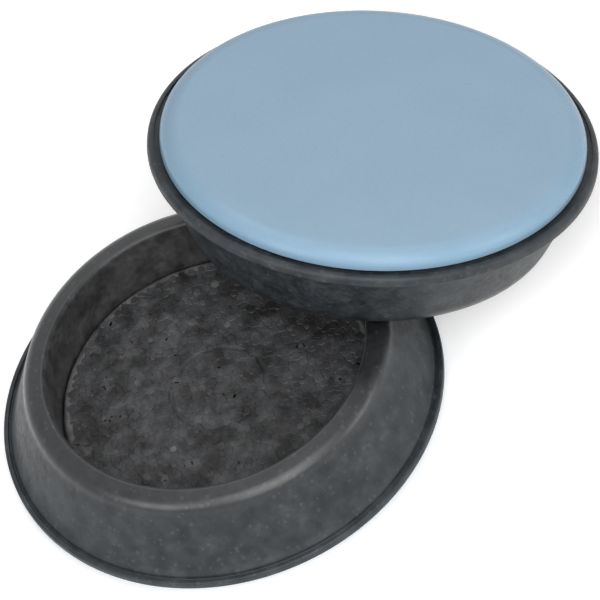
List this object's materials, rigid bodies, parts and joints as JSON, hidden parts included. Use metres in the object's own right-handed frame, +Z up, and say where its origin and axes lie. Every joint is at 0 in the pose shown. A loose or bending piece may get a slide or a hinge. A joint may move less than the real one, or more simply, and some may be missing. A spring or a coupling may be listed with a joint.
{
  "type": "furniture slider",
  "caption": "Round furniture sliders: black rubber cup with a grip pad for a leg, over a hard low-friction glide disc; shown cup up, with a turned-over spare leaning on its rim.",
  "frame": {"origin": "centre of the standing slider's glide face, on the floor", "axes": "+Z up, along the standing slider's axis; +X from the standing slider towards the leaning spare"},
  "size_m": [0.0935, 0.06, 0.032],
  "materials": {
    "rubber": "satin moulded rubber",
    "glide": "smooth low-friction plastic, satin",
    "grip": "pressed rubber crumb, speckled",
    "bond": "cured adhesive film"
  },
  "bodies": {
    "standing_slider": {"cup": "rubber", "glide_disc": "glide", "glide_adhesive": "bond", "grip_pad": "grip", "grip_adhesive": "bond"},
    "spare_slider": {"spare_cup": "rubber", "spare_glide_disc": "glide", "spare_glide_adhesive": "bond", "spare_grip_pad": "grip", "spare_grip_adhesive": "bond"}
  },
  "joints": [
    {"name": "spare_lift", "type": "slide", "parent": "standing_slider", "child": "spare_slider", "axis": [0, 0, 1], "range_m": [0, 0.04]}
  ]
}
